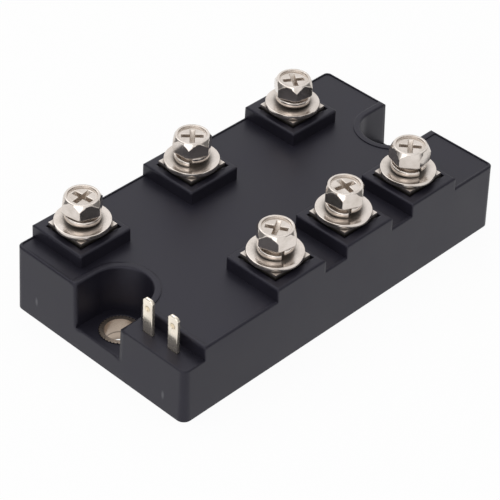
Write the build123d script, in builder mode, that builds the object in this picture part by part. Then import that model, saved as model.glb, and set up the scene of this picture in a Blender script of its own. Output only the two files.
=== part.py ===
from build123d import *
import os
from math import atan2, cos, degrees, radians, sin, sqrt

# Bridge rectifier module, about 100 x 53 mm, on a metal base plate. Six screw terminals stand on
# square pads in two rows, two flat tabs stand on a low shelf at one corner, and a U notch at each
# short end leads to a mounting hole. Sizes are in millimetres. The origin is the middle of the
# underside, X runs along the module and Z points up.

# Housing
body_length = 100.5
body_width = 53.4
rim_top = 17.4            # top of the raised rim above the underside
draft = 1.6               # lean of the moulded walls, degrees
corner_radius = 2.0
step_corner = 1.2         # corners of the sunk top face
edge_break = 0.3          # small chamfer along the upper edges
wall = 2.4
roof = 2.6
rim_width = 1.1
rim_step = 0.2            # how far the top face lies below the rim

# Base plate
base_thickness = 2.0
base_proud = 0.2          # how far the plate stands out below the housing's skirt
skirt = 1.8               # thickness of the skirt round the plate
base_clearance = 0.1
base_chamfer = 0.3

# Mounting notches
hole_inset = 6.75         # from the end faces to the mounting holes
notch_radius = 6.85
notch_rim = 2.0
flange_top = 5.8
sleeve_radius = 4.65
sleeve_bore = 7.0
knurl_count = 36
knurl_depth = 0.3

# Shelf with the two control tabs
shelf_depth = 6.3
shelf_top = 14.0
tab_inset = 4.0           # from the end face to the middle of the tabs
tab_row = 11.8            # from the centre line to the nearer tab
tab_pitch = 7.5
tab_width = 2.8
tab_shoulder = 4.0        # width of the part that stays under the shelf
tab_thickness = 0.8
tab_top = 23.3
tab_foot = 8.0
tab_point = 0.8           # slant at the tip
tab_bevel = 0.25
tab_dimple = 0.6          # radius of the press mark near the tip
tab_dimple_drop = 2.6     # its middle below the tip
tab_dimple_depth = 0.15
tab_clearance = 0.1

# Terminal pads
pad_length = 14.8
pad_width = 16.2          # from the side of the module inwards
pad_top = 20.5
pad_corner = 0.5
last_inset = 21.85        # from the right end to the last column, which both rows share
first_ac_inset = 12.5     # from the left end to the first AC screw
first_dc_inset = 35.35    # from the left end to the first DC screw
side_inset = 8.7          # from the long sides to the screws
pocket_margin = 0.4       # room round a plate in its pocket
pocket_depth = 0.8

# Terminal plates
plate_size = 10.6
plate_thickness = 1.2
plate_sink = 0.1          # underside of a plate below the top of its pad
plate_overhang = 0.5      # how far the bend stands out past the square
leg_width = 6.0
leg_clearance = 0.1
foot_length = 4.5
bend_radius = 0.5         # inside of the bends
leg_relief = 0.3          # slots beside the bend

# M5 screws, nuts and washers
thread_radius = 2.5
thread_clearance = 0.05
nut_flats = 8.0
nut_height = 4.0
nut_clearance = 0.1
washer_radius = 6.4
washer_thickness = 1.2
spring_radius = 4.1
spring_thickness = 1.3
spring_gap = 8.0          # opening of the split, degrees
spring_steps = 8          # equal parts of the turn, with a section at each end of each
bore_clearance = 0.15
screw_length = 10.0
head_flats = 8.2
head_height = 3.8
head_chamfer = 0.3
crown_radius = 3.85
crown_drop = 1.5          # how far the corners are turned down
dish_radius = 3.35
dish_depth = 0.45
cross_span = 5.2
cross_tip = 1.9
cross_width = 1.15
cross_depth = 2.3

# Circuit inside
ceramic_gap = 0.25        # to the walls of the notches
ceramic_side_gap = 1.9    # to the long walls
ceramic_thickness = 0.6
land_thickness = 0.3
land_gap = 1.2
land_margin = 0.8         # bare ceramic round the lands
phase_width = 14.6
minus_width = 5.0
plus_width = 9.8
minus_branch = 10.0       # length along X of the arm to its terminal
plus_start = 0.0          # left end of the arm to the plus terminal
chip_thickness = 0.3
diode_size = 6.0
diode_inset = 0.9         # from the edge of the land to the chip
diode_shift = 5.0         # along X from the middle of a phase land to its two diodes
thyristor_size = 9.0
thyristor_shift = 2.6     # along X from the first DC screw to the thyristor
gate_inset = 0.8          # from the thyristor's corner to the gate lead
clip_thickness = 0.4
clip_width = 4.0
clip_rise = 1.5
clip_foot = 3.0
clip_inset = 1.2          # from the edge of a phase land to the clip's foot on it
lead_width = 1.0
lead_thickness = 0.3
lead_foot = 1.2
lead_level = 6.0
joint_inset = 3.2         # from the end of the load land to the cathode lead
gel_depth = 7.0

# Levels and places that follow from the sizes above
top_face = rim_top - rim_step
roof_under = top_face - roof
shelf_under = shelf_top - roof
base_top = base_thickness
plate_bottom = pad_top - plate_sink
plate_middle = plate_bottom + plate_thickness / 2
plate_top = plate_bottom + plate_thickness
spring_seat = plate_top + washer_thickness
head_seat = spring_seat + 2 * spring_thickness
head_top = head_seat + head_height
dish_floor = head_top - dish_depth
screw_tip = head_seat - screw_length
pocket_floor = pad_top - pocket_depth
nut_bottom = plate_bottom - nut_height
ceramic_top = base_top + ceramic_thickness
land_top = ceramic_top + land_thickness
chip_top = land_top + chip_thickness
end_x = body_length / 2
side_y = body_width / 2
hole_x = end_x - hole_inset
terminal_row = side_y - side_inset
last_column = end_x - last_inset
first_ac = first_ac_inset - end_x
first_dc = first_dc_inset - end_x
shelf_back = shelf_depth - end_x
tab_x = tab_inset - end_x
leg_out = plate_size / 2 + plate_overhang
leg_in = leg_out - plate_thickness
leg_middle = (leg_in + leg_out) / 2
ceramic_end = hole_x - notch_radius - wall - ceramic_gap
ceramic_side = side_y - wall - ceramic_side_gap
land_end = ceramic_end - land_margin
land_side = ceramic_side - land_margin
phase_length = (2 * land_end - 2 * land_gap) / 3
phase_pitch = phase_length + land_gap
phase_front = land_side - phase_width
minus_back = phase_front - land_gap
minus_front = minus_back - minus_width
plus_back = minus_front - land_gap
plus_front = plus_back - plus_width
load_back = plus_front - land_gap
minus_start = land_end - minus_branch
high_diode_y = plus_back - diode_inset - diode_size / 2
low_diode_y = phase_front + diode_inset + diode_size / 2
high_clip_y = phase_front + clip_inset + clip_foot / 2
thyristor_x = first_dc - thyristor_shift
thyristor_y = (plus_front + plus_back) / 2
gate_x = thyristor_x - thyristor_size / 2 + gate_inset
gate_y = thyristor_y - thyristor_size / 2 + gate_inset
screw_hole = thread_radius + bore_clearance
knurl_side = knurl_depth * sqrt(2)
head_corner = head_flats / sqrt(3)
coil_radius = (spring_radius + screw_hole) / 2
spring_turn = 360 - spring_gap

# X and Y, then in degrees about Z a corner of the screw head, its cross slot and the split of the
# spring washer, and last the way along X that the foot points inside
terminals = [
    (first_ac, terminal_row, 40, 8, 34, 1),
    ((first_ac + last_column) / 2, terminal_row, 36, 45, 222, -1),
    (last_column, terminal_row, 53, 56, 52, -1),
    (first_dc, -terminal_row, 51, 30, 247, -1),
    ((first_dc + last_column) / 2, -terminal_row, 37, 77, 242, -1),
    (last_column, -terminal_row, 9, 39, 263, -1),
]
tabs = [("gate", -tab_row), ("cathode", -tab_row - tab_pitch)]

os.makedirs("parts", exist_ok=True)


def notch_outline(radius, mode=Mode.ADD):
    """Two U shapes round the mounting holes, open at the short ends."""
    reach = end_x - hole_x + wall
    for side in (-1, 1):
        with Locations((side * hole_x, 0)):
            Circle(radius, mode=mode)
        with Locations((side * (hole_x + reach / 2), 0)):
            Rectangle(reach, 2 * radius, mode=mode)


def pad_outline():
    """The six pads, run out past the side walls, which then trim them."""
    reach = pad_width + wall
    for x, y, *_ in terminals:
        inner_edge = (side_y - pad_width) * (1 if y > 0 else -1)
        with Locations((x, inner_edge + reach / 2 * (1 if y > 0 else -1))):
            RectangleRounded(pad_length, reach, pad_corner)


def shelf_outline(back, mode=Mode.ADD):
    """The corner beside the notch that is cut down to the shelf."""
    reach = back + end_x + wall
    with Locations((back - reach / 2, -(side_y + wall) / 2)):
        Rectangle(reach, side_y + wall, mode=mode)


def cavity_outline():
    """The room inside the walls, clear of the two mounting notches."""
    Rectangle(body_length - 2 * wall, body_width - 2 * wall)
    notch_outline(notch_radius + wall, Mode.SUBTRACT)


def land_outline(left, right, front, back):
    """A rectangle given by where its four sides lie."""
    with Locations(((left + right) / 2, (front + back) / 2)):
        Rectangle(right - left, back - front)


def upright(x, y, level=0.0, turned=0.0):
    """A standing plane: its X runs outwards at an angle about Z, its Y runs up."""
    outwards = radians(turned)
    return Plane((x, y, level), (cos(outwards), sin(outwards), 0), (sin(outwards), -cos(outwards), 0))


with BuildPart() as body_block:
    with BuildSketch(Plane.XY.offset(base_proud)):
        RectangleRounded(body_length, body_width, corner_radius)
    extrude(amount=pad_top - base_proud, taper=draft)

# The pads stand flush with the leaning side walls, so they are cut from the same block
with BuildPart() as pads:
    add(body_block.part)
    with BuildSketch(Plane.XY.offset(rim_top - wall)):
        pad_outline()
    extrude(amount=pad_top, mode=Mode.INTERSECT)
    chamfer(pads.edges().group_by(Axis.Z)[-1], edge_break)

with BuildPart() as housing:
    add(body_block.part)
    with BuildSketch(Plane.XY.offset(rim_top)):
        Rectangle(body_length + wall, body_width + wall)
    extrude(amount=pad_top, mode=Mode.SUBTRACT)
    # Low shelf at one corner
    with BuildSketch(Plane.XY.offset(shelf_top)):
        shelf_outline(shelf_back)
    extrude(amount=pad_top, mode=Mode.SUBTRACT)
    # Mounting notches, wider towards the top
    with BuildSketch(Plane.XY.offset(flange_top)):
        notch_outline(notch_radius)
    extrude(amount=pad_top, taper=-draft, mode=Mode.SUBTRACT)
    chamfer(housing.edges().group_by(Axis.Z)[-1], edge_break)
    # Top face, a step below the rim
    with BuildSketch(Plane.XY.offset(top_face)):
        RectangleRounded(body_length - 2 * rim_width, body_width - 2 * rim_width, step_corner)
        notch_outline(notch_radius + notch_rim, Mode.SUBTRACT)
        shelf_outline(shelf_back + rim_width, Mode.SUBTRACT)
    extrude(amount=rim_step, mode=Mode.SUBTRACT)
    add(pads.part)
    # Room for the circuit, lower under the shelf
    with BuildSketch(Plane.XY.offset(base_top)):
        cavity_outline()
    extrude(amount=shelf_under - base_top, mode=Mode.SUBTRACT)
    with BuildSketch(Plane.XY.offset(shelf_under)):
        cavity_outline()
        shelf_outline(shelf_back + wall, Mode.SUBTRACT)
    extrude(amount=roof_under - shelf_under, mode=Mode.SUBTRACT)
    # Seat of the base plate inside the skirt
    with BuildSketch(Plane.XY.offset(base_proud)):
        Rectangle(body_length - 2 * skirt, body_width - 2 * skirt)
    extrude(amount=base_top - base_proud, mode=Mode.SUBTRACT)
    # Under each plate a pocket, a hexagon for the nut, a blind hole for the screw and a slot
    for x, y, *_ in terminals:
        with BuildSketch(Plane((x, y, pocket_floor))):
            pocket_end = leg_out + pocket_margin
            pocket_start = -plate_size / 2 - pocket_margin
            with Locations(((pocket_start + pocket_end) / 2, 0)):
                Rectangle(pocket_end - pocket_start, plate_size + 2 * pocket_margin)
        extrude(amount=pocket_depth, mode=Mode.SUBTRACT)
        with BuildSketch(Plane((x, y, nut_bottom))):
            RegularPolygon(nut_flats / 2 + nut_clearance, 6, major_radius=False, rotation=30)
        extrude(amount=nut_height, mode=Mode.SUBTRACT)
        with BuildSketch(Plane((x, y, screw_tip - bore_clearance))):
            Circle(screw_hole)
        extrude(amount=nut_height, mode=Mode.SUBTRACT)
        with BuildSketch(Plane((x, y, base_top))):
            with Locations((leg_middle, 0)):
                Rectangle(plate_thickness + 2 * leg_clearance, leg_width + 2 * leg_clearance)
        extrude(amount=pad_top, mode=Mode.SUBTRACT)
    # Slots for the control tabs
    with BuildSketch(Plane.XY.offset(base_top)):
        with Locations(*[(tab_x, y) for _, y in tabs]):
            Rectangle(tab_thickness + 2 * tab_clearance, tab_width + 2 * tab_clearance)
    extrude(amount=shelf_top, mode=Mode.SUBTRACT)
    # Holes for the mounting sleeves
    with BuildSketch(Plane.XY.offset(base_top)):
        with Locations((-hole_x, 0), (hole_x, 0)):
            Circle(sleeve_radius)
    extrude(amount=flange_top, mode=Mode.SUBTRACT)
housing.part.label = "housing"
export_step(housing.part, "parts/housing.step")

with BuildPart() as base_plate:
    with BuildSketch():
        inset = skirt + base_clearance
        Rectangle(body_length - 2 * inset, body_width - 2 * inset)
        with Locations((-hole_x, 0), (hole_x, 0)):
            Circle(sleeve_bore / 2, mode=Mode.SUBTRACT)
    extrude(amount=base_thickness)
    chamfer(base_plate.faces().sort_by(Axis.Z)[0].outer_wire().edges(), base_chamfer)
base_plate.part.label = "base_plate"
export_step(base_plate.part, "parts/base_plate.step")

for number, x in enumerate((-hole_x, hole_x), start=1):
    with BuildPart() as sleeve:
        with BuildSketch(Plane((x, 0, base_top))):
            Circle(sleeve_radius)
            with PolarLocations(sleeve_radius, knurl_count):
                Rectangle(knurl_side, knurl_side, rotation=45, mode=Mode.SUBTRACT)
            Circle(sleeve_bore / 2, mode=Mode.SUBTRACT)
        extrude(amount=flange_top - base_top)
    sleeve.part.label = f"mounting_sleeve_{number}"
    export_step(sleeve.part, f"parts/mounting_sleeve_{number}.step")

# Split washer, one left-hand turn that rises by its own thickness
with BuildPart() as spring_coil:
    for step in range(spring_steps + 1):
        share = step / spring_steps
        rise = share * spring_thickness * spring_turn / 360
        with BuildSketch(upright(0, 0, rise, -share * spring_turn)):
            with Locations((coil_radius, spring_thickness / 2)):
                Rectangle(spring_radius - screw_hole, spring_thickness)
    loft()

inner_pieces = []
for number, (x, y, corner, cross, split, foot_way) in enumerate(terminals, start=1):
    # Square plate over the nut, whose strip turns down through the pad to a foot on its land
    bend_start = leg_in - bend_radius
    foot_end = leg_middle + foot_way * (foot_length + bend_radius + plate_thickness / 2)
    with BuildPart() as plate:
        with BuildSketch(Plane((x, y, plate_bottom))):
            Rectangle(plate_size, plate_size)
            with Locations((bend_start + leg_width / 2, 0)):
                Rectangle(leg_width, leg_width + 2 * leg_relief, mode=Mode.SUBTRACT)
            Circle(screw_hole, mode=Mode.SUBTRACT)
        extrude(amount=plate_thickness)
        with BuildLine(upright(x, y)):
            FilletPolyline(
                (screw_hole, plate_middle),
                (leg_middle, plate_middle),
                (leg_middle, land_top + plate_thickness / 2),
                (foot_end, land_top + plate_thickness / 2),
                radius=bend_radius + plate_thickness / 2,
            )
        with BuildSketch(Plane((x + screw_hole, y, plate_middle), (0, 1, 0), (1, 0, 0))):
            Rectangle(leg_width, plate_thickness)
        sweep()
    plate.part.label = f"terminal_plate_{number}"
    export_step(plate.part, f"parts/terminal_plate_{number}.step")
    inner_pieces.append(plate.part)

    with BuildPart() as nut:
        with BuildSketch(Plane((x, y, nut_bottom))):
            RegularPolygon(nut_flats / 2, 6, major_radius=False, rotation=30)
            Circle(thread_radius, mode=Mode.SUBTRACT)
        extrude(amount=nut_height)
    nut.part.label = f"terminal_nut_{number}"
    export_step(nut.part, f"parts/terminal_nut_{number}.step")

    with BuildPart() as flat_washer:
        with BuildSketch(Plane((x, y, plate_top))):
            Circle(washer_radius)
            Circle(screw_hole, mode=Mode.SUBTRACT)
        extrude(amount=washer_thickness)
    flat_washer.part.label = f"flat_washer_{number}"
    export_step(flat_washer.part, f"parts/flat_washer_{number}.step")

    with BuildPart() as spring_washer:
        with Locations((x, y, spring_seat)):
            add(spring_coil.part, rotation=(0, 0, split - spring_gap / 2))
    spring_washer.part.label = f"spring_washer_{number}"
    export_step(spring_washer.part, f"parts/spring_washer_{number}.step")

    # Indented hexagon head with a turned-down crown, a shallow dish and a cross recess
    with BuildPart() as screw:
        with BuildSketch(Plane((x, y, head_seat))):
            RegularPolygon(head_flats / 2, 6, major_radius=False, rotation=corner)
        extrude(amount=head_height)
        with BuildSketch(upright(x, y)):
            with BuildLine():
                Polyline(
                    (0, head_seat),
                    (head_corner - head_chamfer, head_seat),
                    (head_corner, head_seat + head_chamfer),
                    (head_corner, head_top - crown_drop),
                    (crown_radius, head_top),
                    (dish_radius, head_top),
                    (dish_radius, dish_floor),
                    (0, dish_floor),
                    close=True,
                )
            make_face()
        revolve(axis=Axis((x, y, 0), (0, 0, 1)), mode=Mode.INTERSECT)
        for turn_by in (0, 90):
            with BuildSketch(upright(x, y, dish_floor, cross + turn_by)):
                with BuildLine():
                    Polyline(
                        (-cross_span / 2, 0),
                        (-cross_tip / 2, -cross_depth),
                        (cross_tip / 2, -cross_depth),
                        (cross_span / 2, 0),
                        close=True,
                    )
                make_face()
            extrude(amount=cross_width / 2, both=True, mode=Mode.SUBTRACT)
        with BuildSketch(Plane((x, y, screw_tip))):
            Circle(thread_radius - thread_clearance)
        extrude(amount=screw_length)
    screw.part.label = f"terminal_screw_{number}"
    export_step(screw.part, f"parts/terminal_screw_{number}.step")

# Control tabs with pointed tips, held by a shoulder under the shelf, and the leads below them
lead_ends = {
    "gate": (gate_x, gate_y, chip_top),
    "cathode": (joint_inset - land_end, (load_back - land_side) / 2, land_top),
}
for name, y in tabs:
    with BuildPart() as tab:
        with BuildSketch(Plane((tab_x, y, tab_foot))):
            Rectangle(tab_thickness, tab_shoulder)
        extrude(amount=shelf_under - tab_foot)
        with BuildSketch(Plane((tab_x, y, tab_foot))):
            Rectangle(tab_thickness, tab_width)
        extrude(amount=tab_top - tab_foot)
        tip = tab.faces().sort_by(Axis.Z)[-1]
        chamfer(tip.edges().filter_by(Axis.X), tab_point)
        tip = tab.faces().sort_by(Axis.Z)[-1]
        chamfer(tip.edges().filter_by(Axis.Y), tab_bevel)
        for side in (-1, 1):
            face_x = tab_x + side * tab_thickness / 2
            with BuildSketch(Plane((face_x, y, tab_top - tab_dimple_drop), z_dir=(-side, 0, 0))):
                Circle(tab_dimple)
            extrude(amount=tab_dimple_depth, mode=Mode.SUBTRACT)
    tab.part.label = f"{name}_tab"
    export_step(tab.part, f"parts/{name}_tab.step")

    end = Vector(*lead_ends[name])
    run = Vector(end.X - tab_x, end.Y - y, 0)
    lead_low = lead_thickness / 2
    with BuildPart() as lead:
        with BuildSketch(upright(tab_x, y, 0, degrees(atan2(run.Y, run.X)))):
            with BuildLine():
                Polyline(
                    (0, tab_foot),
                    (0, lead_level),
                    (run.length - lead_foot, lead_level),
                    (run.length - lead_foot, end.Z + lead_low),
                    (run.length, end.Z + lead_low),
                )
            trace(line_width=lead_thickness)
        extrude(amount=lead_width / 2, both=True)
    lead.part.label = f"{name}_lead"
    export_step(lead.part, f"parts/{name}_lead.step")
    inner_pieces += [tab.part, lead.part]

with BuildPart() as ceramic:
    with BuildSketch(Plane.XY.offset(base_top)):
        Rectangle(2 * ceramic_end, 2 * ceramic_side)
    extrude(amount=ceramic_thickness)
ceramic.part.label = "ceramic_plate"
export_step(ceramic.part, "parts/ceramic_plate.step")
inner_pieces.append(ceramic.part)

# Copper lands on the ceramic: three phases at the back, the minus and plus rails along the middle
# with an arm each to their terminals, and the switched output at the front
lands = {
    "minus_land": [
        (-land_end, land_end, minus_front, minus_back),
        (minus_start, land_end, -land_side, minus_back),
    ],
    "plus_land": [
        (-land_end, minus_start - land_gap, plus_front, plus_back),
        (plus_start, minus_start - land_gap, -land_side, plus_back),
    ],
    "load_land": [(-land_end, plus_start - land_gap, -land_side, load_back)],
}
for number in range(3):
    left = number * phase_pitch - land_end
    outline = (left, left + phase_length, phase_front, land_side)
    lands[f"phase_land_{number + 1}"] = [outline]
for name, outlines in lands.items():
    with BuildPart() as land:
        with BuildSketch(Plane.XY.offset(ceramic_top)):
            for outline in outlines:
                land_outline(*outline)
        extrude(amount=land_thickness)
    land.part.label = name
    export_step(land.part, f"parts/{name}.step")
    inner_pieces.append(land.part)

# Chips, and from the top of each a clip to a land: name, X and Y of the chip, its size, and the Y
# where the clip's far foot lands
minus_middle = (minus_front + minus_back) / 2
chips = [("thyristor", thyristor_x, thyristor_y, thyristor_size, load_back - clip_foot / 2)]
for number, middle in enumerate((-phase_pitch, 0, phase_pitch), start=1):
    chips.append((f"high_diode_{number}", middle - diode_shift, high_diode_y, diode_size, high_clip_y))
    chips.append((f"low_diode_{number}", middle + diode_shift, low_diode_y, diode_size, minus_middle))
for name, x, y, size, land_y in chips:
    with BuildPart() as chip:
        with BuildSketch(Plane((x, y, land_top))):
            Rectangle(size, size)
        extrude(amount=chip_thickness)
    chip.part.label = name
    export_step(chip.part, f"parts/{name}.step")

    half_foot = clip_foot / 2
    reach = abs(land_y - y)
    clip_low = clip_thickness / 2
    clip_arch = chip_top + clip_low + clip_rise
    with BuildPart() as clip:
        with BuildSketch(upright(x, y, 0, 90 if land_y > y else -90)):
            with BuildLine():
                Polyline(
                    (-half_foot, chip_top + clip_low),
                    (half_foot, chip_top + clip_low),
                    (half_foot, clip_arch),
                    (reach - half_foot, clip_arch),
                    (reach - half_foot, land_top + clip_low),
                    (reach + half_foot, land_top + clip_low),
                )
            trace(line_width=clip_thickness)
        extrude(amount=clip_width / 2, both=True)
    clip.part.label = f"{name}_clip"
    export_step(clip.part, f"parts/{name}_clip.step")
    inner_pieces += [chip.part, clip.part]

# Soft gel cast over the circuit up to the feet of the leads
with BuildPart() as gel:
    with BuildSketch(Plane.XY.offset(base_top)):
        cavity_outline()
    extrude(amount=gel_depth)
    for piece in inner_pieces:
        add(piece, mode=Mode.SUBTRACT)
gel.part.label = "gel_fill"
export_step(gel.part, "parts/gel_fill.step")
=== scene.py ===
from math import cos, radians, sin

import bmesh
import bpy
from mathutils import Matrix, Vector

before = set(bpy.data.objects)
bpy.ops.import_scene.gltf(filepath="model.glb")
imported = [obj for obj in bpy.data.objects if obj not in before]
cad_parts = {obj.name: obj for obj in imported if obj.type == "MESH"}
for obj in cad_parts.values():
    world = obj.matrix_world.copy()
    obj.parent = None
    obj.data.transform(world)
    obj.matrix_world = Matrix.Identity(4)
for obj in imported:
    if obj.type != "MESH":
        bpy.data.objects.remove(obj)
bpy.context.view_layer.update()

bl_info = {
    "name": "Bridge rectifier module",
    "version": (1, 0, 0),
    "blender": (4, 5, 0),
    "location": "3D View > Sidebar > Rectifier",
    "description": "Finishes the moulded module, its nickel terminals and its control tabs",
    "category": "Object",
}

MM = 0.001
TERMINALS = range(1, 7)
SLEEVES = (1, 2)
LANDS = ["minus_land", "plus_land", "load_land", "phase_land_1", "phase_land_2", "phase_land_3"]
CHIPS = ["thyristor"] + [f"{side}_diode_{n}" for side in ("high", "low") for n in (1, 2, 3)]

# Moulding: the press marks on the left end, and the corners of the notch mouths with their larger rounding
PRESS_MARKS = [(-50.1 * MM, 19.7 * MM, 5.3 * MM), (-50.1 * MM, -20.2 * MM, 4.35 * MM)]
PRESS_MARK_SIZE = (2.0 * MM, 0.5 * MM, 1.4 * MM)
PRESS_MARK_COLOUR = (0.10, 0.10, 0.108)
PRESS_MARK_SHARE = 0.8
NOTCH_CORNER = (50.1 * MM, 6.95 * MM, 10 * MM)
NOTCH_CORNER_SIZE = (2.2 * MM, 2.2 * MM, 60 * MM)
NOTCH_ROUNDING = 2.4
MOULDING_MOTTLE = 0.012
MOULDING_SPECULAR = 0.355
MOULDING_SPECULAR_TINT = (0.88, 0.86, 1.0)

# Metal, darker towards the bottom as painted shade: dark up to the first height and clean from the second, with
# the dark part's share of the shade
# Sleeves: a dark joint, and painted shade low in the bore, both below the first height
SLEEVE_SEAM_AND_SHADE = (1.95 * MM, 2.45 * MM, 0.1)
# Plates: painted shade on their sides, darker towards the bottom
PLATE_SIDE_SHADE = (20.7 * MM, 21.5 * MM, 0.2)
# Control tabs: painted shade in their dimples, a darker and warmer soft spot on each
TAB_DIMPLE_SHADE_SIZE = (1.0 * MM, 1.1 * MM, 1.1 * MM)
TAB_DIMPLE_SHADE_COLOUR = (0.80, 0.67, 0.48)
TAB_DIMPLE_SHADES = [((-46.6 * MM, y * MM, 20.7 * MM), TAB_DIMPLE_SHADE_SIZE, TAB_DIMPLE_SHADE_COLOUR) for y in (-11.8, -19.3)]
TAB_EDGE = 0.00008
PATCH_SHARE = 0.55
# Painted shade in crevices: where it sets in on the crevice mask, and the roughness there
CREVICE_SHADE_FROM = 0.25
CREVICE_SHADE_ROUGHNESS = 0.55

# Textures: the values of a noise between which a change goes on, depths of relief, and the core of a soft spot
NOISE_SPAN = (0.3, 0.7)
PATCH_SPAN = (0.42, 0.72)
WORN_SPAN = (0.35, 0.7)
SCRATCH_SQUEEZE = (1.0, 1.0, 6.0)
GRAIN_DEPTH = 0.00002
RIPPLE_DEPTH = 0.00003
INNER_MOTTLE = 0.003
SPOT_CORE = 0.3
NORMAL_SAMPLES = 8

# Mesh finish
WELD_REACH = 0.000002
FLAT_ANGLE = radians(0.6)
SHARP_ANGLE = radians(35.0)

# Stage: the lamps, the floor, the cards in the reflections and the camera
KEY_PLACE, KEY_SIZE = (-0.02, 0.22, 0.64), 0.90
FILL_PLACE, FILL_SIZE = (-0.66, -0.24, 0.36), 0.70
LAMP_TARGET = (0, 0, 0.01)
WHITE = (1.0, 1.0, 1.0)
FLOOR_COLOUR = (0.86, 0.86, 0.86)
FLOOR_GLOW = 0.95
SIDE_AXIS = (0.68, -0.73, 0.0)
SIDE_CARD_RIM = (0.72, 0.92)
OVERHEAD_RIM = (0.78, 0.92)
OVERHEAD_CARD = 0.25
CAMERA_ANGLES = (-47.22, 38.62, 2.59)  # azimuth, elevation and roll, in degrees
CAMERA_OFFSET = (-2.327, 2.978, 482.1)  # to the right, up and back, in millimetres


# Sizes and colours that a user may change

class HousingSettings(bpy.types.PropertyGroup):
    """The black moulding"""
    colour: bpy.props.FloatVectorProperty(
        name="Colour", description="Colour of the moulding compound", subtype="COLOR",
        default=(0.0100, 0.0093, 0.0145), min=0, max=1)
    edge_colour: bpy.props.FloatVectorProperty(
        name="Edge colour", description="Colour where the moulded edges catch the light", subtype="COLOR",
        default=(0.022, 0.021, 0.028), min=0, max=1)
    roughness: bpy.props.FloatProperty(
        name="Roughness", description="Satin of the moulded faces", default=0.40, min=0, max=1, subtype="FACTOR")
    grain: bpy.props.FloatProperty(
        name="Grain", description="Size of the fine grain from the mould", default=0.00035, min=0.00005,
        unit="LENGTH")
    edge_round: bpy.props.FloatProperty(
        name="Edge rounding", description="Radius of the moulded edges", default=0.0007, min=0, unit="LENGTH")


class MetalSettings(bpy.types.PropertyGroup):
    """The plated metal parts"""
    nickel: bpy.props.FloatVectorProperty(
        name="Nickel", description="Colour of the bright nickel plating", subtype="COLOR",
        default=(0.735, 0.672, 0.622), min=0, max=1)
    nickel_shade: bpy.props.FloatVectorProperty(
        name="Nickel shade", description="Warmer colour in the worn and stained patches", subtype="COLOR",
        default=(0.50, 0.44, 0.385), min=0, max=1)
    tab_colour: bpy.props.FloatVectorProperty(
        name="Tab tin", description="Colour of the tin on the control tabs", subtype="COLOR",
        default=(0.98, 0.90, 0.77), min=0, max=1)
    sleeve_colour: bpy.props.FloatVectorProperty(
        name="Sleeve", description="Colour of the mounting sleeves and the base plate", subtype="COLOR",
        default=(0.50, 0.41, 0.335), min=0, max=1)
    roughness: bpy.props.FloatProperty(
        name="Roughness", description="Roughness of the bright plating", default=0.12, min=0, max=1,
        subtype="FACTOR")
    edge_round: bpy.props.FloatProperty(
        name="Edge rounding", description="Radius of the tumbled edges of screws and washers", default=0.0002,
        min=0, unit="LENGTH")


class StageSettings(bpy.types.PropertyGroup):
    """Floor, light and camera"""
    floor_size: bpy.props.FloatProperty(
        name="Floor", description="Length of the floor's side", default=4.0, min=0.5, unit="LENGTH")
    key: bpy.props.FloatProperty(
        name="Key light", description="Power of the large lamp over the module, in watts", default=1.9, min=0)
    fill: bpy.props.FloatProperty(
        name="Fill light", description="Power of the lamp on the camera's side, in watts", default=1.2, min=0)
    sky: bpy.props.FloatProperty(
        name="Surroundings", description="Strength of the soft light from all round", default=0.55, min=0)
    card: bpy.props.FloatProperty(
        name="Side cards", description="Brightness of the dark cards in the reflections", default=0.18, min=0)
    lens: bpy.props.FloatProperty(
        name="Lens", description="Focal length of the camera", default=151.41, min=1, subtype="DISTANCE_CAMERA")


# Node helpers

def put(tree, kind, **values):
    """Adds a node. Lower case names are its attributes. The others are inputs: by name with _ for a space, or by
    number as I0, I1 and so on. An input takes a number, a colour or another node's socket."""
    node = tree.nodes.new(kind)
    settings = {k: v for k, v in values.items() if not k[0].isupper()}
    for name, value in settings.items():
        setattr(node, name, value)
    for name, value in values.items():
        if name in settings:
            continue
        numbered = name[0] == "I" and name[1:].isdigit()
        socket = node.inputs[int(name[1:]) if numbered else name.replace("_", " ")]
        if isinstance(value, bpy.types.NodeSocket):
            tree.links.new(value, socket)
        else:
            socket.default_value = value
    return node


def maths(tree, operation, first, second, clamp=False):
    """The result of an operation on two numbers or sockets."""
    return put(tree, "ShaderNodeMath", operation=operation, use_clamp=clamp, I0=first, I1=second).outputs[0]


def ranged(tree, value, low, high, first=0.0, second=1.0):
    """value from first..second onto low..high, held at the ends."""
    return put(tree, "ShaderNodeMapRange", Value=value, From_Min=first, From_Max=second, To_Min=low,
               To_Max=high).outputs[0]


def mixed(tree, fac, first, second):
    """Colour that goes from first to second with fac."""
    return put(tree, "ShaderNodeMix", data_type="RGBA", I0=fac, I6=first, I7=second).outputs[2]


def place(tree):
    """The place on the object."""
    return put(tree, "ShaderNodeTexCoord").outputs["Object"]


def noise(tree, where, size, detail, roughness=0.5):
    """Noise whose largest features have that size."""
    scale = maths(tree, "DIVIDE", 1.0, size)
    return put(tree, "ShaderNodeTexNoise", Vector=where, Scale=scale, Detail=detail,
               Roughness=roughness).outputs["Fac"]


def scaled(colour, share):
    return [c * share for c in colour]


def rgba(colour):
    return (*colour, 1.0)


def blank(name):
    """A new material with a Principled shader: (material, tree, shader)."""
    material = bpy.data.materials.new(name)
    material.use_nodes = True
    tree = material.node_tree
    return material, tree, tree.nodes["Principled BSDF"]


# Effects that several materials share

def group_tree(name, inputs, outputs):
    """A node group with a number input per label and default, and a number output per label."""
    tree = bpy.data.node_groups.new(name, "ShaderNodeTree")
    for label, default in inputs.items():
        socket = tree.interface.new_socket(label, in_out="INPUT", socket_type="NodeSocketFloat")
        socket.default_value = default
    for label in outputs:
        tree.interface.new_socket(label, in_out="OUTPUT", socket_type="NodeSocketFloat")
    return tree, tree.nodes.new("NodeGroupInput").outputs, tree.nodes.new("NodeGroupOutput").inputs


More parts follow.
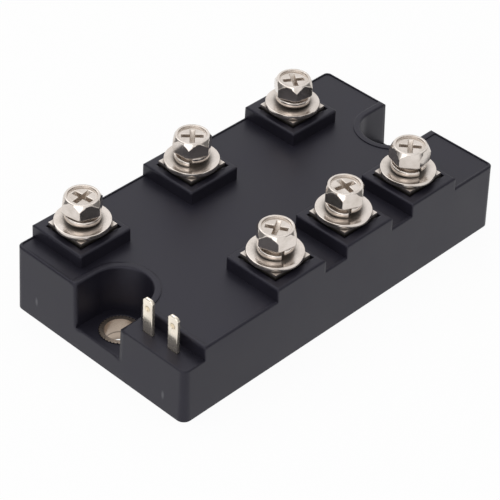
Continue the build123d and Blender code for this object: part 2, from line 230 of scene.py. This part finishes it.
def edge_group():
    """Edge mask: 1 where the surface turns sharply within a radius, 0 on flat faces."""
    tree, given, out = group_tree("edge_mask", {"Radius": 0.0003, "Gain": 6.0}, ["Mask"])
    rounded = put(tree, "ShaderNodeBevel", samples=6, Radius=given["Radius"])
    flat = put(tree, "ShaderNodeNewGeometry")
    facing = put(tree, "ShaderNodeVectorMath", operation="DOT_PRODUCT", I0=rounded.outputs["Normal"],
                 I1=flat.outputs["True Normal"])
    turned = maths(tree, "SUBTRACT", 1.0, facing.outputs["Value"])
    tree.links.new(maths(tree, "MULTIPLY", turned, given["Gain"], clamp=True), out["Mask"])
    return tree


def grain_group():
    """Fine grain: a height for a bump, and a slow mottle for colour and roughness."""
    tree, given, out = group_tree("moulded_grain", {"Size": 0.0003, "Mottle size": 0.012}, ["Height", "Mottle"])
    where = place(tree)
    tree.links.new(noise(tree, where, given["Size"], detail=3.0, roughness=0.6), out["Height"])
    tree.links.new(noise(tree, where, given["Mottle size"], detail=4.0, roughness=0.55), out["Mottle"])
    return tree


def plating_group():
    """Plated metal: a tint mask for stained patches, a roughness change and a height of faint ripples."""
    tree, given, out = group_tree(
        "plating_wear", {"Patch size": 0.004, "Scratch size": 0.0006}, ["Tint", "Scratch", "Height"])
    where = place(tree)
    squeezed = put(tree, "ShaderNodeMapping", Vector=where, Scale=SCRATCH_SQUEEZE).outputs[0]
    patch = noise(tree, where, given["Patch size"], detail=3.0)
    scratch = noise(tree, squeezed, given["Scratch size"], detail=4.0, roughness=0.7)
    tree.links.new(ranged(tree, patch, 0.0, 1.0, *PATCH_SPAN), out["Tint"])
    tree.links.new(scratch, out["Scratch"])
    tree.links.new(noise(tree, where, given["Scratch size"], detail=1.0), out["Height"])
    return tree


def crevice_group():
    """Crevice mask: 1 deep in recesses and close under neighbouring pieces, 0 on open faces."""
    tree, given, out = group_tree("crevice_mask", {"Distance": 0.002, "Gain": 1.5}, ["Mask"])
    openness = put(tree, "ShaderNodeAmbientOcclusion", samples=8, Distance=given["Distance"])
    closed = maths(tree, "SUBTRACT", 1.0, openness.outputs["AO"])
    tree.links.new(maths(tree, "MULTIPLY", closed, given["Gain"], clamp=True), out["Mask"])
    return tree


def place_group(tree, name, make, **values):
    """The outputs of a shared group, made the first time it is asked for, with this material's values."""
    return put(tree, "ShaderNodeGroup", node_tree=bpy.data.node_groups.get(name) or make(), **values).outputs


def spot(tree, centre, size, mirrored=False):
    """A soft spot: 1 about a point, falling to 0 on the ellipsoid with those half axes.

    mirrored: also at the point's mirror images."""
    where = place(tree)
    if mirrored:
        where = put(tree, "ShaderNodeVectorMath", operation="ABSOLUTE", I0=where).outputs[0]
    apart = put(tree, "ShaderNodeVectorMath", operation="SUBTRACT", I0=where, I1=centre)
    relative = put(tree, "ShaderNodeVectorMath", operation="DIVIDE", I0=apart.outputs[0], I1=size)
    reach = put(tree, "ShaderNodeVectorMath", operation="LENGTH", I0=relative.outputs[0])
    return ranged(tree, reach.outputs["Value"], 1.0, 0.0, SPOT_CORE, 1.0)


def level(tree, low, high):
    """Height over the underside as a value: 0 at low, 1 at high."""
    parts = put(tree, "ShaderNodeSeparateXYZ", Vector=place(tree))
    return ranged(tree, parts.outputs["Z"], 0.0, 1.0, low, high)


# Materials

def moulding_material(settings):
    """Black moulding compound with fine grain, slow mottle, soft edges with a painted highlight and two press
    marks.
    """
    material, tree, shader = blank("housing_moulding")
    radius = settings.edge_round
    grain = place_group(tree, "moulded_grain", grain_group, Size=settings.grain, Mottle_size=MOULDING_MOTTLE)
    edge = place_group(tree, "edge_mask", edge_group, Radius=radius * 0.5, Gain=1.6)
    inner = place_group(tree, "crevice_mask", crevice_group, Distance=radius * 2, Gain=5.0)
    outer_edge = maths(tree, "MULTIPLY", edge["Mask"], maths(tree, "SUBTRACT", 1.0, inner["Mask"]))

    worn = rgba(scaled(settings.colour, 1.35))
    body = mixed(tree, ranged(tree, grain["Mottle"], 0.0, 1.0, *WORN_SPAN), rgba(settings.colour), worn)
    # Painted highlight: the lighter edge colour along the outer edges, kept off the inner ones
    edge_highlighted = mixed(tree, outer_edge, body, rgba(settings.edge_colour))
    marked = maths(tree, "MAXIMUM", *[spot(tree, centre, PRESS_MARK_SIZE) for centre in PRESS_MARKS])
    colour = mixed(tree, maths(tree, "MULTIPLY", marked, PRESS_MARK_SHARE), edge_highlighted, rgba(PRESS_MARK_COLOUR))
    tree.links.new(colour, shader.inputs["Base Color"])

    rough = ranged(tree, grain["Mottle"], settings.roughness - 0.04, settings.roughness + 0.05, *NOISE_SPAN)
    tree.links.new(rough, shader.inputs["Roughness"])

    # Outer edges are rounded, inner ones stay as they are
    mouth = spot(tree, NOTCH_CORNER, NOTCH_CORNER_SIZE, mirrored=True)
    rounded = put(tree, "ShaderNodeBevel", samples=NORMAL_SAMPLES,
                  Radius=ranged(tree, mouth, radius, radius * NOTCH_ROUNDING))
    flat = put(tree, "ShaderNodeNewGeometry")
    normal = put(tree, "ShaderNodeMix", data_type="VECTOR", I0=inner["Mask"], I4=rounded.outputs["Normal"],
                 I5=flat.outputs["Normal"])
    bump = put(tree, "ShaderNodeBump", Strength=0.25, Distance=GRAIN_DEPTH, Height=grain["Height"],
               Normal=normal.outputs[1])
    tree.links.new(bump.outputs[0], shader.inputs["Normal"])
    shader.inputs["Specular IOR Level"].default_value = MOULDING_SPECULAR
    shader.inputs["Specular Tint"].default_value = rgba(MOULDING_SPECULAR_TINT)
    return material


def plated_material(name, colour, shade, roughness, patch=0.004, scratch=0.0006, bump=0.03, crevice_shade_depth=0.9,
                    reach=0.0016, gain=1.5, crevice_shade_tone=0.30, darker_below=None, edge_round=0.0, shaded_spots=(),
                    metallic=0.95):
    """Plated metal with patches of shade, faint scratches and painted shade in its crevices.

    patch, scratch: sizes of the patches and of the scratches and ripples. bump: strength of the ripples.
    reach, gain: how far round a point a crevice is looked for, and how soon it counts as one.
    crevice_shade_depth, crevice_shade_tone: how much of the painted shade in crevices shows at most, and its
    share of shade.
    darker_below: painted shade low on the piece, given as the height up to which it is dark, the height from
    which it is clean, and the dark part's share.
    shaded_spots: centre, half axes and colour of each soft spot of painted shade."""
    material, tree, shader = blank(name)
    wear = place_group(tree, "plating_wear", plating_group, Patch_size=patch, Scratch_size=scratch)
    crevice = place_group(tree, "crevice_mask", crevice_group, Distance=reach, Gain=gain)
    # Painted shade: ambient occlusion darkens and dulls the metal in crevices and close under neighbouring pieces
    shaded_crevice = ranged(tree, crevice["Mask"], 0.0, crevice_shade_depth, CREVICE_SHADE_FROM, 1.0)

    clean = mixed(tree, ranged(tree, wear["Tint"], 0.0, PATCH_SHARE), rgba(colour), rgba(shade))
    shown = mixed(tree, shaded_crevice, clean, rgba(scaled(shade, crevice_shade_tone)))
    # Painted shade: soft darker spots
    for centre, size, tone in shaded_spots:
        shown = mixed(tree, spot(tree, centre, size), shown, rgba(tone))
    # Darker towards the bottom: painted shade, on the sleeves together with a dark joint
    if darker_below:
        low, high, share = darker_below
        shown = mixed(tree, level(tree, low, high), rgba(scaled(shade, share)), shown)
    tree.links.new(shown, shader.inputs["Base Color"])

    rough = ranged(tree, wear["Scratch"], roughness * 0.8, roughness * 1.3, *NOISE_SPAN)
    dull = put(tree, "ShaderNodeMix", Factor=shaded_crevice, A=rough, B=CREVICE_SHADE_ROUGHNESS)
    tree.links.new(dull.outputs[0], shader.inputs["Roughness"])

    ripples = put(tree, "ShaderNodeBump", Strength=bump, Distance=RIPPLE_DEPTH, Height=wear["Height"])
    if edge_round:
        rounded = put(tree, "ShaderNodeBevel", samples=NORMAL_SAMPLES, Radius=edge_round)
        tree.links.new(rounded.outputs["Normal"], ripples.inputs["Normal"])
    tree.links.new(ripples.outputs[0], shader.inputs["Normal"])
    shader.inputs["Metallic"].default_value = metallic
    return material


def plain_material(name, colour, shade, roughness, metallic=0.0):
    """Material of an inner piece, with a slow change of colour and a fine grain."""
    material, tree, shader = blank(name)
    grain = place_group(tree, "moulded_grain", grain_group, Size=INNER_MOTTLE * 0.1, Mottle_size=INNER_MOTTLE)
    body = mixed(tree, ranged(tree, grain["Mottle"], 0.0, 1.0, *NOISE_SPAN), rgba(colour), rgba(shade))
    tree.links.new(body, shader.inputs["Base Color"])
    rough = ranged(tree, grain["Mottle"], roughness * 0.85, roughness * 1.15, *NOISE_SPAN)
    tree.links.new(rough, shader.inputs["Roughness"])
    bump = put(tree, "ShaderNodeBump", Strength=0.2, Distance=GRAIN_DEPTH, Height=grain["Height"])
    tree.links.new(bump.outputs[0], shader.inputs["Normal"])
    shader.inputs["Metallic"].default_value = metallic
    return material


# Finishing the CAD nodes

def finish_node(name, material, edge=0.0, segments=2):
    """Gives a CAD node its material and shades its curves smoothly. edge rounds its sharp edges too."""
    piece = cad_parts[name]
    piece.data.materials.clear()
    piece.data.materials.append(material)
    piece.data.polygons.foreach_set("use_smooth", [True] * len(piece.data.polygons))
    weld = piece.modifiers.new("weld", "WELD")
    weld.merge_threshold = WELD_REACH
    if edge:
        flat = piece.modifiers.new("flat_faces", "DECIMATE")
        flat.decimate_type = "DISSOLVE"
        flat.angle_limit = FLAT_ANGLE
        bevel = piece.modifiers.new("edge_round", "BEVEL")
        bevel.width = edge
        bevel.segments = segments
        bevel.limit_method = "ANGLE"
        bevel.angle_limit = SHARP_ANGLE
        bevel.use_clamp_overlap = True
    split = piece.modifiers.new("sharp_edges", "EDGE_SPLIT")
    split.split_angle = SHARP_ANGLE
    normals = piece.modifiers.new("face_normals", "WEIGHTED_NORMAL")
    normals.keep_sharp = True


class RECTIFIER_OT_housing(bpy.types.Operator):
    """Finish the moulded housing"""
    bl_idname = "rectifier.housing"
    bl_label = "Housing"

    def execute(self, context):
        finish_node("housing", moulding_material(context.scene.rectifier_housing))
        return {"FINISHED"}


class RECTIFIER_OT_base(bpy.types.Operator):
    """Finish the base plate and the two mounting sleeves"""
    bl_idname = "rectifier.base"
    bl_label = "Base plate and sleeves"

    def execute(self, context):
        tin = context.scene.rectifier_metal.sleeve_colour
        # Painted shade from the crevice settings also darkens the base plate and the sleeves in their hollows
        base = plated_material("base_nickel", scaled(tin, 0.9), tin, roughness=0.35, patch=0.012, scratch=0.0015)
        # Sleeves: painted shade and a dark joint low in the bore
        sleeve = plated_material("sleeve_tin", scaled(tin, 0.85), tin, roughness=0.30, patch=0.002,
                                 darker_below=SLEEVE_SEAM_AND_SHADE)
        finish_node("base_plate", base)
        for n in SLEEVES:
            finish_node(f"mounting_sleeve_{n}", sleeve)
        return {"FINISHED"}


class RECTIFIER_OT_terminals(bpy.types.Operator):
    """Finish the terminal plates, nuts, washers and screws"""
    bl_idname = "rectifier.terminals"
    bl_label = "Screw terminals"

    def execute(self, context):
        metal = context.scene.rectifier_metal
        nickel = (metal.nickel, metal.nickel_shade)
        # Painted shade from the crevice settings: under the washers, springs and heads, and in the screws'
        # recesses
        plate = plated_material("plate_nickel", *nickel, metal.roughness * 2.2, darker_below=PLATE_SIDE_SHADE)
        washer = plated_material("washer_nickel", *nickel, metal.roughness * 1.6, patch=0.005, reach=0.0024,
                                 gain=2.4, crevice_shade_tone=0.24)
        screw = plated_material("screw_nickel", *nickel, metal.roughness, patch=0.003, crevice_shade_depth=0.8, reach=0.003,
                                gain=2.2, crevice_shade_tone=1.15, edge_round=0.00035, metallic=0.92)
        spring = plated_material("spring_nickel", *nickel, metal.roughness, patch=0.002, crevice_shade_depth=0.25, reach=0.0008,
                                 edge_round=0.0006)
        nut = plated_material("nut_zinc", (0.70, 0.70, 0.68), (0.52, 0.51, 0.48), roughness=0.3)
        for n in TERMINALS:
            finish_node(f"terminal_plate_{n}", plate)
            finish_node(f"flat_washer_{n}", washer, edge=metal.edge_round)
            finish_node(f"spring_washer_{n}", spring, edge=metal.edge_round)
            finish_node(f"terminal_screw_{n}", screw, edge=metal.edge_round * 2, segments=4)
            finish_node(f"terminal_nut_{n}", nut)
        return {"FINISHED"}


class RECTIFIER_OT_tabs(bpy.types.Operator):
    """Finish the two control tabs and the leads below them"""
    bl_idname = "rectifier.tabs"
    bl_label = "Control tabs"

    def execute(self, context):
        metal = context.scene.rectifier_metal
        tin = plated_material("tab_tin", metal.tab_colour, metal.nickel_shade, roughness=0.17, patch=0.008,
                              scratch=0.004, bump=0.01, crevice_shade_depth=0.0, edge_round=0.0004, shaded_spots=TAB_DIMPLE_SHADES,
                              metallic=0.87)
        wire = plain_material("lead_wire", (0.80, 0.80, 0.80), (0.66, 0.66, 0.66), roughness=0.3, metallic=1.0)
        for name in ("gate", "cathode"):
            finish_node(f"{name}_tab", tin, edge=TAB_EDGE)
            finish_node(f"{name}_lead", wire)
        return {"FINISHED"}


class RECTIFIER_OT_circuit(bpy.types.Operator):
    """Finish the circuit and the gel inside the housing"""
    bl_idname = "rectifier.circuit"
    bl_label = "Circuit inside"

    def execute(self, context):
        copper = plain_material("bare_copper", (0.80, 0.42, 0.27), (0.58, 0.28, 0.17), roughness=0.32,
                                metallic=1.0)
        silicon = plain_material("chip_silicon", (0.11, 0.11, 0.13), (0.20, 0.20, 0.22), roughness=0.22,
                                 metallic=0.5)
        ceramic = plain_material("white_ceramic", (0.80, 0.80, 0.77), (0.72, 0.72, 0.69), roughness=0.5)
        gel = plain_material("silicone_gel", (0.45, 0.45, 0.40), (0.38, 0.38, 0.34), roughness=0.25)
        for name in LANDS + [f"{chip}_clip" for chip in CHIPS]:
            finish_node(name, copper)
        for name in CHIPS:
            finish_node(name, silicon)
        finish_node("ceramic_plate", ceramic)
        finish_node("gel_fill", gel)
        return {"FINISHED"}


class RECTIFIER_OT_stage(bpy.types.Operator):
    """Make the floor, the studio light and the camera"""
    bl_idname = "rectifier.stage"
    bl_label = "Stage"

    def execute(self, context):
        scene, stage = context.scene, context.scene.rectifier_stage
        self.floor(scene, stage)
        self.surroundings(scene, stage)
        self.lamp(scene, "key_lamp", KEY_PLACE, stage.key, KEY_SIZE)
        self.lamp(scene, "fill_lamp", FILL_PLACE, stage.fill, FILL_SIZE)
        self.camera(scene, stage)
        scene.view_settings.view_transform = "Standard"
        return {"FINISHED"}

    @staticmethod
    def seen(tree):
        """1 for rays from the camera and for those that gloss or glass sends on, else 0."""
        path = put(tree, "ShaderNodeLightPath").outputs
        direct = maths(tree, "MAXIMUM", path["Is Camera Ray"], path["Is Glossy Ray"])
        return maths(tree, "MAXIMUM", direct, path["Is Transmission Ray"])

    def floor(self, scene, stage):
        """A pale floor that looks white to the camera and in reflections."""
        mesh = bpy.data.meshes.new("floor")
        shape = bmesh.new()
        bmesh.ops.create_grid(shape, x_segments=1, y_segments=1, size=stage.floor_size / 2)
        shape.to_mesh(mesh)
        shape.free()
        floor = bpy.data.objects.new("floor", mesh)
        scene.collection.objects.link(floor)
        material, tree, shader = blank("pale_floor")
        shader.inputs["Base Color"].default_value = rgba(FLOOR_COLOUR)
        shader.inputs["Roughness"].default_value = 0.9
        shader.inputs["Specular IOR Level"].default_value = 0.0
        glow = put(tree, "ShaderNodeEmission", Color=rgba(WHITE), Strength=1.0)
        share = maths(tree, "MULTIPLY", self.seen(tree), FLOOR_GLOW)
        both = put(tree, "ShaderNodeMixShader", I0=share, I1=shader.outputs[0], I2=glow.outputs[0])
        tree.links.new(both.outputs[0], tree.nodes["Material Output"].inputs["Surface"])
        mesh.materials.append(material)

    def surroundings(self, scene, stage):
        """White all round. Reflections also show soft dark cards left and right and a dim one overhead."""
        world = bpy.data.worlds.new("studio")
        world.use_nodes = True
        tree = world.node_tree
        back = tree.nodes["Background"]
        back.inputs["Color"].default_value = rgba(WHITE)
        direction = put(tree, "ShaderNodeTexCoord").outputs["Generated"]
        sideways = put(tree, "ShaderNodeVectorMath", operation="DOT_PRODUCT", I0=direction, I1=SIDE_AXIS)
        away = put(tree, "ShaderNodeMath", operation="ABSOLUTE", I0=sideways.outputs["Value"]).outputs[0]
        upwards = put(tree, "ShaderNodeSeparateXYZ", Vector=direction).outputs["Z"]
        sides = ranged(tree, away, 1.0, stage.card, *SIDE_CARD_RIM)
        overhead = ranged(tree, upwards, 1.0, OVERHEAD_CARD, *OVERHEAD_RIM)
        cards = maths(tree, "MULTIPLY", sides, overhead)
        camera_ray = put(tree, "ShaderNodeLightPath").outputs["Is Camera Ray"]
        shown = put(tree, "ShaderNodeMix", Factor=camera_ray, A=cards, B=1.0)
        strength = put(tree, "ShaderNodeMix", Factor=self.seen(tree), A=stage.sky, B=shown.outputs[0])
        tree.links.new(strength.outputs[0], back.inputs["Strength"])
        scene.world = world

    def lamp(self, scene, name, where, power, size):
        """A round lamp that faces the module."""
        data = bpy.data.lights.new(name, "AREA")
        data.shape = "DISK"
        data.size = size
        data.energy = power
        lamp = bpy.data.objects.new(name, data)
        lamp.location = where
        lamp.rotation_euler = (Vector(LAMP_TARGET) - Vector(where)).to_track_quat("-Z", "Y").to_euler()
        scene.collection.objects.link(lamp)

    def camera(self, scene, stage):
        """The photograph's camera."""
        azimuth, elevation, roll = (radians(angle) for angle in CAMERA_ANGLES)
        right_by, up_by, back_by = CAMERA_OFFSET
        back = Vector((sin(azimuth) * cos(elevation), -cos(azimuth) * cos(elevation), sin(elevation)))
        right = Vector((cos(azimuth), sin(azimuth), 0.0))
        up = back.cross(right)
        across = right * cos(roll) + up * sin(roll)
        upward = up * cos(roll) - right * sin(roll)
        turn = Matrix((across, upward, back)).transposed()
        stand = (right * right_by + up * up_by + back * back_by) * MM
        data = bpy.data.cameras.new("camera")
        data.lens = stage.lens
        data.sensor_width = 36.0
        data.clip_start, data.clip_end = 0.01, 20.0
        camera = bpy.data.objects.new("camera", data)
        camera.matrix_world = Matrix.Translation(stand) @ turn.to_4x4()
        scene.collection.objects.link(camera)
        scene.camera = camera


class RECTIFIER_PT_panel(bpy.types.Panel):
    """The module's operators and settings"""
    bl_idname = "RECTIFIER_PT_panel"
    bl_label = "Bridge rectifier module"
    bl_space_type = "VIEW_3D"
    bl_region_type = "UI"
    bl_category = "Rectifier"

    def draw(self, context):
        for operator in OPERATORS:
            self.layout.operator(operator.bl_idname)
        for group in SETTINGS:
            settings = getattr(context.scene, group)
            box = self.layout.box()
            for name in settings.bl_rna.properties.keys():
                if name not in {"rna_type", "name"}:
                    box.prop(settings, name)


SETTINGS = {"rectifier_housing": HousingSettings, "rectifier_metal": MetalSettings,
            "rectifier_stage": StageSettings}
OPERATORS = (RECTIFIER_OT_housing, RECTIFIER_OT_base, RECTIFIER_OT_terminals, RECTIFIER_OT_tabs,
             RECTIFIER_OT_circuit, RECTIFIER_OT_stage)
CLASSES = (*SETTINGS.values(), *OPERATORS, RECTIFIER_PT_panel)


def register():
    for kind in CLASSES:
        bpy.utils.register_class(kind)
    for name, kind in SETTINGS.items():
        setattr(bpy.types.Scene, name, bpy.props.PointerProperty(type=kind))


def unregister():
    for name in SETTINGS:
        delattr(bpy.types.Scene, name)
    for kind in reversed(CLASSES):
        bpy.utils.unregister_class(kind)


def main():
    register()
    for operator in OPERATORS:
        getattr(bpy.ops.rectifier, operator.bl_idname.split(".")[1])()


if __name__ == "__main__":
    main()
